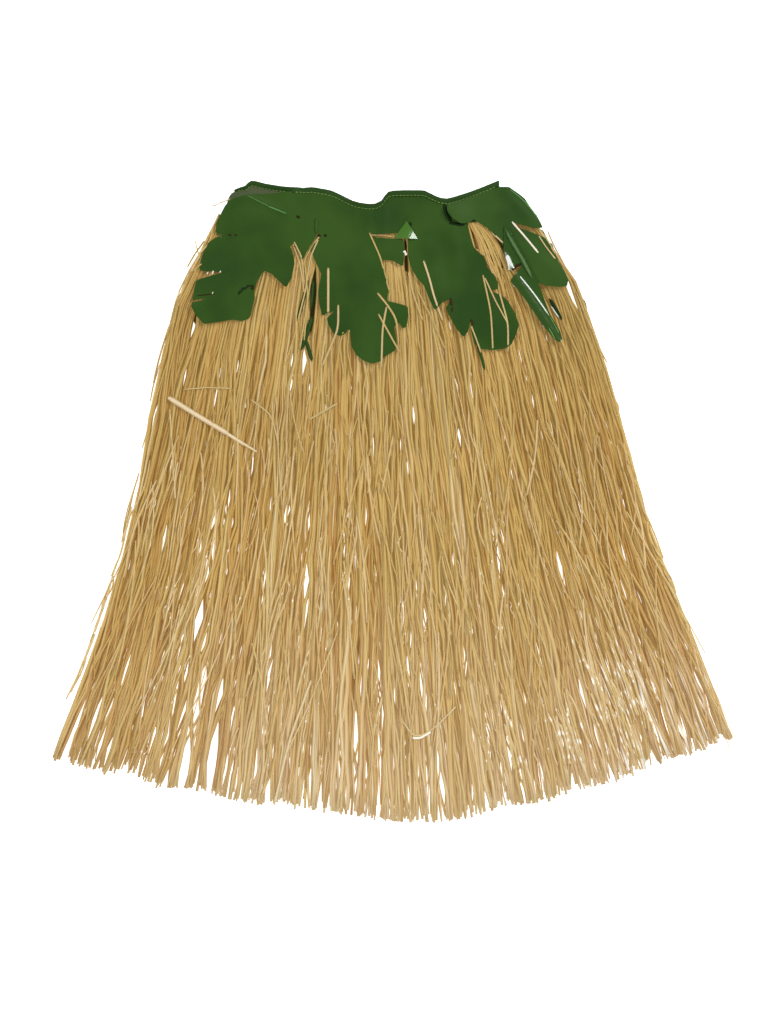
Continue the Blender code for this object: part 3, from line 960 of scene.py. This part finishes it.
def binding(node, name):
    """A copy of a packed binding with soft edges."""
    obj = add_object(name, frame["nodes"][node].data.copy())
    obj.data.name = name
    select_only(obj)
    bpy.ops.object.mode_set(mode="EDIT")
    bpy.ops.mesh.select_all(action="SELECT")
    bpy.ops.mesh.remove_doubles(threshold=WELD)
    bpy.ops.mesh.dissolve_limited(angle_limit=math.radians(2))
    bpy.ops.object.mode_set(mode="OBJECT")
    soft = obj.modifiers.new("rounded", "BEVEL")
    soft.width = ROUNDING
    soft.segments = 2
    soft.limit_method = "ANGLE"
    soft.angle_limit = math.radians(50)
    bpy.ops.object.modifier_apply(modifier=soft.name)
    bpy.ops.object.mode_set(mode="EDIT")
    bpy.ops.mesh.select_all(action="SELECT")
    bpy.ops.transform.shrink_fatten(value=FATTER)
    bpy.ops.object.mode_set(mode="OBJECT")
    for vert in obj.data.vertices:
        vert.co.z = max(vert.co.z, 0)
    bpy.ops.object.shade_smooth_by_angle(angle=SMOOTH_BELOW)
    obj.data.materials.clear()
    obj.data.materials.append(binding_face)
    hand_in(obj, "binding", node)
    print(name, "has", len(obj.data.polygons), "faces")


binding("binding_front", "binding_tape_front")
binding("binding_back", "binding_tape_back")

# %% [markdown]
# A row of short stitches runs along the lower edge of each binding. One stitch is modelled, and the others
# are copies that follow the edge.

# %% Stitch the bindings down
STITCH_STEP, STITCH_LONG, STITCH_THICK = 3.6 * MM, 3.3 * MM, 0.8 * MM
STITCH_SEGMENTS, STITCH_RINGS = 8, 6


def stitch_row(node, name):
    """Short stitches along the lower edge of a binding, all in one mesh. It gives their number."""
    low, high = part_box(node)
    xs = np.arange(low.x + 2 * MM, high.x - 2 * MM, 1 * MM)
    rings = [crossings(node, 0, x) for x in xs]
    ys = np.array([ring[:, 1].min() for ring in rings])
    zs = np.array([ring[:, 2].max() for ring in rings])
    run = np.concatenate([[0], np.cumsum(np.hypot(np.diff(xs), np.diff(ys)))])
    starts = np.arange(1 * MM, run[-1] - STITCH_LONG, STITCH_STEP)
    select_only()
    made = []
    for begin in starts:
        at = begin + STITCH_LONG / 2
        x, y, z = (np.interp(at, run, values) for values in (xs, ys, zs))
        rise = np.interp(at + STITCH_LONG / 2, run, ys) - np.interp(at - STITCH_LONG / 2, run, ys)
        turn = math.asin(max(-1, min(1, rise / STITCH_LONG)))
        if not made:
            bpy.ops.mesh.primitive_uv_sphere_add(segments=STITCH_SEGMENTS, ring_count=STITCH_RINGS,
                                                 radius=0.5)
            piece = bpy.context.object
            piece.name = name
        else:
            piece = add_object(name, made[0].data.copy())
        piece.location = (x, y, z)
        piece.rotation_euler = (0, 0, turn)
        piece.scale = (STITCH_LONG, STITCH_THICK, STITCH_THICK)
        made.append(piece)
    for piece in made:
        piece.select_set(True)
    bpy.context.view_layer.objects.active = made[0]
    bpy.ops.object.join()
    row = bpy.context.object
    bpy.ops.object.transform_apply(location=True, rotation=True, scale=True)
    bpy.ops.object.shade_smooth()
    row.data.materials.append(thread)
    hand_in(row, "binding")
    return len(starts)


front_stitches = stitch_row("binding_front", "stitches_front")
back_stitches = stitch_row("binding_back", "stitches_back")
print("sewed", front_stitches, "stitches in front and", back_stitches, "behind")

# %% [markdown]
# ## Loose straws
#
# Some strands have come up between the leaves and lie over them, and a few broken ones lie across the
# fringe. Their routes are listed. To find how high each point lies, a ray is dropped from above
# onto the sheets, and where it misses them the straw lies on the fringe.

# %% Lay straws on what is under them
graph = bpy.context.evaluated_depsgraph_get()
sheets = [BVHTree.FromObject(piece, graph) for piece in (leaves_front, leaf_overlap, leaf_slim)]
STRAW_CLEAR = 0.35 * MM


def roof_at(x, y):
    """Height of the topmost surface at a place: a sheet, or else the front of the fringe."""
    heights = [hit[0].z for hit in (tree.ray_cast((x, y, 1), (0, 0, -1)) for tree in sheets) if hit[0]]
    if heights:
        return max(heights)
    for node in FRONT_HANKS:
        hank = hanks[node]
        if hank.read(hank.left, np.array(y)) <= x <= hank.read(hank.right, np.array(y)):
            return float(hank.read(hank.roof, np.array(y)))
    return 1 * MM


def through(points, stations):
    """A smooth path through a few points, evenly spaced."""
    points = np.array([place(*point) for point in points])
    run = np.concatenate([[0], np.cumsum(np.linalg.norm(np.diff(points, axis=0), axis=1))])
    even = np.linspace(0, run[-1], stations)
    path = np.stack([np.interp(even, run, points[:, axis]) for axis in range(3)], axis=1)
    for _ in range(3):
        path[1:-1] = (path[:-2] + 2 * path[1:-1] + path[2:]) / 4
    return path


def lay(paths, clear=STRAW_CLEAR):
    """Set the height of every station just above what is under it, smoothed so that it clears it all."""
    for path in paths:
        heights = np.array([roof_at(x, y) for x, y, _ in path])
        for _ in range(2):
            soft = heights.copy()
            soft[1:-1] = (heights[:-2] + heights[1:-1] + heights[2:]) / 3
            heights = np.maximum(soft, heights)
        path[:, 2] = heights + clear
    return paths


STRAWS = [
    # width, tone, pale, route (across, down)
    (2.6, 0.8, 0.1, [(-60, 88), (-60, 112), (-60, 134)]),
    (2.2, 0.8, 0.1, [(-50, 125), (-50, 149), (-66, 186)]), (1.8, 0.6, 0.0, [(-19, 53), (-8, 77), (1, 112)]),
    (2.2, 0.7, 0.0, [(-11, 113), (-1, 125), (8, 139), (10, 164)]), (1.9, 0.7, 0.0, [(-10, 134), (11, 172)]),
    (2.1, 0.8, 0.1, [(-2, 127), (-6, 149), (-7, 187)]),
    (2.2, 0.9, 0.2, [(35, 81), (41, 99), (45, 116), (54, 140)]),
    (1.9, 0.7, 0.0, [(94, 95), (102, 132), (104, 172)]),
    (1.9, 0.7, 0.1, [(110, 111), (119, 143), (119, 172)]),
    (2.0, 1.0, 0.7, [(123, 42), (136, 57), (149, 73)]), (1.4, 0.9, 0.3, [(149, 55), (156, 66), (166, 79)]),
    (2.6, 0.2, 0.1, [(-17, 55), (-8, 55), (4, 56.5)]), (1.6, 0.7, 0.0, [(-69, 57), (-76, 66), (-84, 80)]),
    (5.0, 1.0, 0.5, [(-219, 217), (-190, 235), (-160, 253)]),
    (3.6, 1.0, 0.5, [(-200, 229), (-170, 247), (-143, 264)]),
    (2.4, 1.0, 0.5, [(-180, 241), (-150, 259.5), (-131, 271)]),
    (1.3, 0.8, 0.1, [(-203, 209), (-180, 207), (-157, 208)]),
    (1.6, 0.8, 0.1, [(-137, 219), (-117, 234), (-109, 264)]), (1.8, 0.8, 0.1, [(-79, 239), (-51, 223)]),
    (1.7, 0.9, 0.2, [(14, 539), (26, 557), (43, 549), (67, 525)]),
    # A painted highlight: a short white strip on the middle of the curved straw above.
    (2.6, 1.0, 1.0, [(24, 556), (31, 556.5), (42, 550)]),
    (2.6, 0.9, 0.4, [(-77, 499), (-99, 559), (-114, 624)]),
    (1.2, 0.4, 0.2, [(-176, 25), (-168, 23), (-158, 19)]),
    (1.8, 0.7, 0.0, [(-94, 62), (-86, 78), (-84, 104)]), (1.9, 0.6, 0.0, [(28, 108), (44, 140), (56, 168)]),
    (1.8, 0.8, 0.1, [(20, 92), (24, 112), (34, 140)]), (1.8, 0.6, 0.0, [(-45, 152), (-49, 166), (-44, 196)]),
    (1.8, 0.5, 0.0, [(-39, 150), (-41, 170), (-36, 196)]),
    (1.6, 0.7, 0.1, [(96, 98), (106, 120), (118, 142)]), (1.9, 0.9, 0.2, [(88, 43), (100, 50), (114, 63)]),
    (1.7, 0.8, 0.1, [(87, 69), (97, 75), (108, 98)]), (1.6, 0.6, 0.0, [(88, 50), (98, 62), (112, 74)]),
    (1.5, 0.7, 0.1, [(88, 58), (98, 68), (110, 86)]), (1.6, 0.7, 0.1, [(-95, 64), (-88, 84), (-84, 112)]),
    (1.6, 0.8, 0.1, [(-70, 60), (-78, 76), (-82, 108), (-90, 140)]),
    (1.6, 0.6, 0.0, [(-83, 84), (-80, 120), (-84, 160)]),
    (1.6, 0.7, 0.0, [(-77, 96), (-82, 130), (-88, 168)]), (1.3, 1.0, 1.0, [(-181, 94), (-179.5, 92)]),
    (1.8, 1.0, 1.0, [(-175.5, 94), (-174.5, 91)]), (1.1, 1.0, 0.9, [(-168, 92.5), (-167, 91)]),
    (3.0, 1.0, 1.0, [(15.5, 71), (18, 75)]), (1.0, 0.9, 0.6, [(-175.5, 114), (-174.5, 112)]),
    (1.6, 0.6, 0.0, [(-184, 60), (-193, 72), (-201, 86)]),
    (1.1, 0.6, 0.1, [(-193, 60), (-191, 70), (-187, 80)]),
    (1.5, 0.6, 0.0, [(-186, 84), (-197, 92), (-204, 104)]),
    (1.4, 0.7, 0.1, [(159, 50), (166, 66), (176, 84)]), (1.6, 0.7, 0.1, [(82, 145), (87, 158), (92, 172)]),
]
STRAW_STATIONS, STRAW_TWIST, STRAW_RIDGE = 15, 0.15, 0.1

widths, tones, pales, routes = zip(*STRAWS)
straw_paths = lay(np.stack([through(route, STRAW_STATIONS) for route in routes]))
straw_twist = np.full((len(STRAWS), STRAW_STATIONS), STRAW_TWIST)
widths = np.array(widths) * MM
pales = np.repeat(np.array(pales)[:, None], STRAW_STATIONS, axis=1)
ribbons("loose_straws", straw_paths, widths, widths * 0.28, straw_twist, np.array(tones), pales,
        np.full(len(STRAWS), STRAW_RIDGE), straw)
print("laid", len(STRAWS), "straws")

# %% [markdown]
# Some folds of the sheet are too sharp for its mesh, so their light is painted on thin strips laid on the
# sheet:
# a painted highlight in pale green where a fold only turns, a duller one along the rib of the slim leaf, and
# a white painted glint where it faces a lamp. The ends of the slits between the leaves are short dark
# strips,
# because they are deep and lie in shade. Dark strips of painted shadow lie where raised edges throw shade:
# below the round lobe, the lip and the folded corner, and beside the slim leaf. Slivers of the back leaves
# show between the strands, so they are strips too, sunk a little below the top of the fringe. A last strip
# covers the slit between two leaves above their roots, where the sheet is whole.

# %% Lay the strips
STRIP_STATIONS = 9


def strips(name, finish, height, lift, rows):
    """Strips that follow what is under them, all in one mesh. height and lift are in millimetres."""
    wide, courses = zip(*rows)
    paths = lay(np.stack([through(course, STRIP_STATIONS) for course in courses]), lift * MM)
    none = np.zeros(len(rows))
    flat = np.zeros((len(rows), STRIP_STATIONS))
    ribbons(name, paths, np.array(wide) * MM, none + height * MM, flat, none, flat, none, finish,
            "leaf_sheet", POINTED)


# Every row is a width and a route (across, down).
# Painted highlights: pale green strips on creases and leaf edges that face the light.
FOLD_HIGHLIGHTS = [
    (0.9, [(-141, 15.5), (-118, 27)]), (1.6, [(-121, 26), (-101, 34)]), (1.3, [(-173, 51), (-166, 58)]),
    (1.7, [(119, 8.5), (136, 21), (151, 42)]), (1.3, [(158.8, 147.4), (166, 160)]),
    (1.2, [(160, 136), (170, 154)]),
]
# Painted highlight: a dull pale strip along the rib of the slim leaf.
RIB_HIGHLIGHTS = [(3.6, [(116, 49), (120, 58), (133, 79), (143, 99)])]
GLINTS = [
    (1.7, [(127, 92), (145, 114), (160, 136)]), (1.3, [(121.5, 102.5), (126, 107)]),
    (1.4, [(161.5, 125.5), (170, 138)]),
]
SLITS = [
    (2.4, [(-92, 36), (-88, 38)]), (1.8, [(-160, 54.5), (-156, 56)]), (1.8, [(-153.5, 55.5), (-151, 55)]),
    (2.8, [(-71, 56), (-67.5, 55.5)]), (2.6, [(-64.5, 55), (-61.5, 56)]), (3.4, [(-137, 107), (-134, 109)]),
    (2.6, [(61.5, 118), (63, 126)]), (1.8, [(63.5, 127), (63, 132)]), (2.4, [(82, 139), (84, 144.5)]),
    (2.6, [(122.5, 91), (127, 86), (132.5, 84)]), (2.6, [(17, 60), (18, 68)]),
    (1.6, [(16.5, 76), (17.5, 92)]), (1.0, [(-191, 116), (-180, 114.5), (-172, 114)]),
]
# Painted shadows: dark green strips below the round lobe, the lip and the folded corner, and beside the slim
# leaf.
SHADES = [
    (4.0, [(55.5, 22), (57, 34), (63, 43)]), (3.2, [(60, 43.5), (76, 45)]), (2.6, [(21.5, 42), (22.5, 46)]),
    (2.6, [(-150, 115), (-146, 109), (-139, 106)]), (1.8, [(-142, 106), (-134, 105)]),
    (3.6, [(160, 118), (166, 128), (173, 140)]),
]
BACK_SLIVERS = [
    (3.8, [(-80, 100), (-85, 120), (-91, 141)]), (4.6, [(-76, 136), (-81, 153), (-87, 170)]),
    (3.8, [(-82, 160), (-76, 181)]), (3.0, [(-75, 100), (-77, 128)]),
    (3.0, [(193, 117), (197, 124), (197, 134)]), (2.4, [(162, 62), (165, 70)]), (3.0, [(53, 92), (58, 118)]),
    (3.0, [(88, 164), (93, 178), (96, 190)]),
]
ROOT_PATCH = [(4.4, [(-71.9, 38), (-71.9, 54.5)])]

for name, finish, height, lift, rows in (
    ("fold_highlights", fold_highlight_face, 0.4, 0.08, FOLD_HIGHLIGHTS), ("rib_highlights", rib_highlight_face, 0.3, 0.4, RIB_HIGHLIGHTS),
    ("glints", glint, 0.5, 0.15, GLINTS), ("slit_ends", shade, 0.3, 0.08, SLITS),
    ("shades", shadow_face, 0.2, 0.08, SHADES), ("back_slivers", matt_face, 0.2, -0.3, BACK_SLIVERS),
    ("root_patch", matt_face, 0.05, 0.08, ROOT_PATCH),
):
    strips(name, finish, height, lift, rows)
    print(name, len(rows))

# %% [markdown]
# Thin fibres have split off all over the fringe. They lie on top of it at small angles, and some stick out
# past its two sides, which makes the outline of the skirt a little fluffy.

# %% Scatter the split fibres
FIBRES, SIDE_FIBRES, FIBRE_STATIONS = 320, 38, 9


def split_fibres():
    """Fibres all over the fringe, and then those that stick out past its left and right sides in turn."""
    rng = np.random.default_rng(31)
    paths = []
    for number in range(FIBRES + SIDE_FIBRES):
        length = rng.uniform(35, 140)
        down = rng.uniform(188, 480)
        hank = hanks[FRONT_HANKS[rng.integers(len(FRONT_HANKS))]]
        share = rng.random()
        lean = rng.normal(0, 0.14)
        if number >= FIBRES:
            node, share, way = ((FRONT_HANKS[0], 0.03, -1), (FRONT_HANKS[-1], 0.97, 1))[number % 2]
            hank = hanks[node]
            length, down = rng.uniform(20, 70), rng.uniform(40, 480)
            lean = way * rng.uniform(0.0, 0.11)
        run = np.linspace(0, 1, FIBRE_STATIONS)
        y = WAIST_TOP - (down + length * run) * MM
        x = hank.across(share, y) + lean * length * run * MM
        bow = rng.normal(0, 2.6) * MM * np.sin(np.pi * run)
        paths.append(np.stack([x + bow, y, np.zeros(FIBRE_STATIONS)], axis=1))
    paths = lay(np.array(paths))
    count = len(paths)
    widths = rng.uniform(0.8, 2.2, count) * MM
    widths[FIBRES:] = rng.uniform(1.3, 2.1, SIDE_FIBRES) * MM
    twist = rng.normal(0, 0.3, (count, FIBRE_STATIONS))
    tone = rng.uniform(0.25, 1.0, count)
    pale = np.repeat(rng.uniform(0, 0.3, count)[:, None], FIBRE_STATIONS, axis=1)
    ribbons("split_fibres", paths, widths, widths * 0.5, twist, tone, pale, np.zeros(count))


split_fibres()
print("scattered", FIBRES + SIDE_FIBRES, "fibres")

# %% [markdown]
# Between the two leaves at the right a tuft of the fringe has been dragged sideways. It lies across the
# strands below it, under the edges of both leaves, on wide dark strips of painted shade that darken the gaps
# between its strands.

# %% Drag a tuft sideways
TUFT, TUFT_SHADOW_BED = 20, 7
TUFT_HANK = "fringe_front_7"
# across, down: the two ends of the line where it starts, and of the line where it is let go
TUFT_FROM = np.array([(78, 40), (93, 40)])
TUFT_TO = np.array([(94, 86), (122, 84)])


def tuft(name, count, widths, heights, flatness, finish, tailed):
    """Strands side by side from one line to another; heights are in mm above the fringe."""
    rng = np.random.default_rng(77)
    hank = hanks[TUFT_HANK]
    paths = []
    for number in range(count):
        share = (number + rng.uniform(-0.3, 0.3)) / (count - 1)
        begin, let_go = (line[0] + (line[1] - line[0]) * share for line in (TUFT_FROM, TUFT_TO))
        let_go = let_go + rng.normal(0, (2, 5))
        middle = (begin + let_go) / 2 + rng.normal(0, 1.2, 2) + (2.0, -1.5)
        tail = let_go + (rng.uniform(4, 12), rng.uniform(10, 40))
        path = through([begin, middle, let_go, tail] if tailed else [begin, middle, let_go], STRAW_STATIONS)
        path[:, 2] = hank.read(hank.roof, path[:, 1]) + rng.uniform(*heights) * MM
        paths.append(path)
    wide = rng.uniform(*widths, count) * MM
    flat = np.zeros((count, STRAW_STATIONS))
    ribbons(name, np.array(paths), wide, wide * flatness, flat, rng.uniform(0.1, 0.9, count), flat,
            np.zeros(count), finish)
    print(name, "has", count, "strands")


# Painted shade: wide dark strips under the tuft darken the gaps between its strands.
tuft("tuft_shadow_bed", TUFT_SHADOW_BED, (4.5, 6.0), (0.1, 0.2), 0.05, shadow_straw, tailed=False)
tuft("dragged_tuft", TUFT, (1.3, 2.4), (0.4, 1.3), 0.3, raffia, tailed=True)

# %% [markdown]
# At the lower right some strands are wide and thin like film, and the white flecks where they catch the
# light are painted highlights in their colour.

# %% Add the strands with painted sheen
SATIN, FLECKS, SATIN_STATIONS = 64, 90, 26
SATIN_ENDS, HEM_SLANT = 598, 0.09       # mm down in the middle; they end above the hem, which slants
SATIN_SPOTS = [
    # across, down, spread: where the flecks of painted highlight are thickest
    (222, 520, 12), (186, 545, 9), (256, 535, 14), (212, 480, 18), (178, 580, 12), (238, 556, 12),
    (112, 590, 14), (228, 505, 10),
]


def painted_sheen_strands():
    """Thin strands with a few flecks of painted highlight, each a few millimetres long."""
    rng = np.random.default_rng(12)
    station = np.arange(SATIN_STATIONS)
    paths, pales = [], []
    for number in range(SATIN + FLECKS):
        across, down, spread = SATIN_SPOTS[number % len(SATIN_SPOTS)]
        across, down = across + rng.normal(0, spread), down + rng.normal(0, spread)
        length = rng.uniform(36, 76)
        if number >= SATIN:                   # single flecks of painted highlight, scattered all over the lower half
            down, length = rng.uniform(330, 590), rng.uniform(14, 34)
            across = rng.uniform(-0.88, 0.88) * fan_half(down)
        lean = across / LENGTH + rng.normal(0, 0.06)
        start = min(down - length / 2, SATIN_ENDS - HEM_SLANT * abs(across) - length)
        run = np.linspace(0, 1, SATIN_STATIONS)
        bow = rng.normal(0, 1.5) * MM * np.sin(np.pi * run)
        bow = bow + rng.normal(0, 0.5) * MM * np.sin(3 * np.pi * run)
        y = WAIST_TOP - (start + run * length) * MM
        paths.append(np.stack([(across + lean * (run - 0.5) * length) * MM + bow, y, 0 * run], axis=1))
        pale = np.full(SATIN_STATIONS, rng.uniform(0.1, 0.4))
        for _ in range(rng.integers(1, 4) if number < SATIN else 1):       # its flecks of painted highlight
            away = np.abs(station - rng.uniform(2, SATIN_STATIONS - 3)) / rng.uniform(0.8, 2.2)
            pale = np.maximum(pale, rng.uniform(0.7, 1.1) * np.exp(-away ** 2))
        pales.append(np.clip(pale, 0, 1))
    count = SATIN + FLECKS
    broad, narrow = rng.uniform(1.2, 2.8, count), rng.uniform(0.9, 1.7, count)
    widths = np.where(np.arange(count) < SATIN, broad, narrow) * MM
    twist = np.repeat(rng.normal(0, 0.3, count)[:, None], SATIN_STATIONS, axis=1)
    ribbons("painted_sheen_strands", lay(np.array(paths)), widths, widths * 0.2, twist,
            rng.uniform(0.4, 0.9, count), np.array(pales), rng.uniform(-0.3, 0.3, count))


painted_sheen_strands()
print(SATIN, "satin strands and", FLECKS, "flecks")

# %% [markdown]
# ## A folded corner
#
# One corner of the long leaf has flipped over. It is a small bent piece of the same sheet, painted in a
# lighter tone than the leaf for the light that it catches as it stands up and that comes through it.

# %% Fold the corner over
CORNER = [
    # across, down, height above the leaf
    (5.5, 58.3, 0.4), (18, 41, 0.6), (23.7, 49.8, 0.6), (29, 59, 0.5), (18.5, 58.8, 3.6),
]


def corner_mesh():
    """Two faces that meet in a sharp fold, divided for smooth shading."""
    base = max(roof_at(*place(across, down)[:2]) for across, down, _ in CORNER)
    work = bmesh.new()
    verts = [work.verts.new(place(across, down, height) + (0, 0, base)) for across, down, height in CORNER]
    for face in ((0, 4, 2, 1), (4, 3, 2)):
        work.faces.new([verts[i] for i in face])
    work.normal_update()
    bmesh.ops.subdivide_edges(work, edges=work.edges[:], cuts=3, use_grid_fill=True)
    bmesh.ops.triangulate(work, faces=work.faces[:])
    return work


corner_work = corner_mesh()
corner_area = face_area(corner_work)
corner = finish_sheet(corner_work, "folded_corner", [], lit_corner_face)
print("the corner is", round(corner_area * 1e6), "square mm")
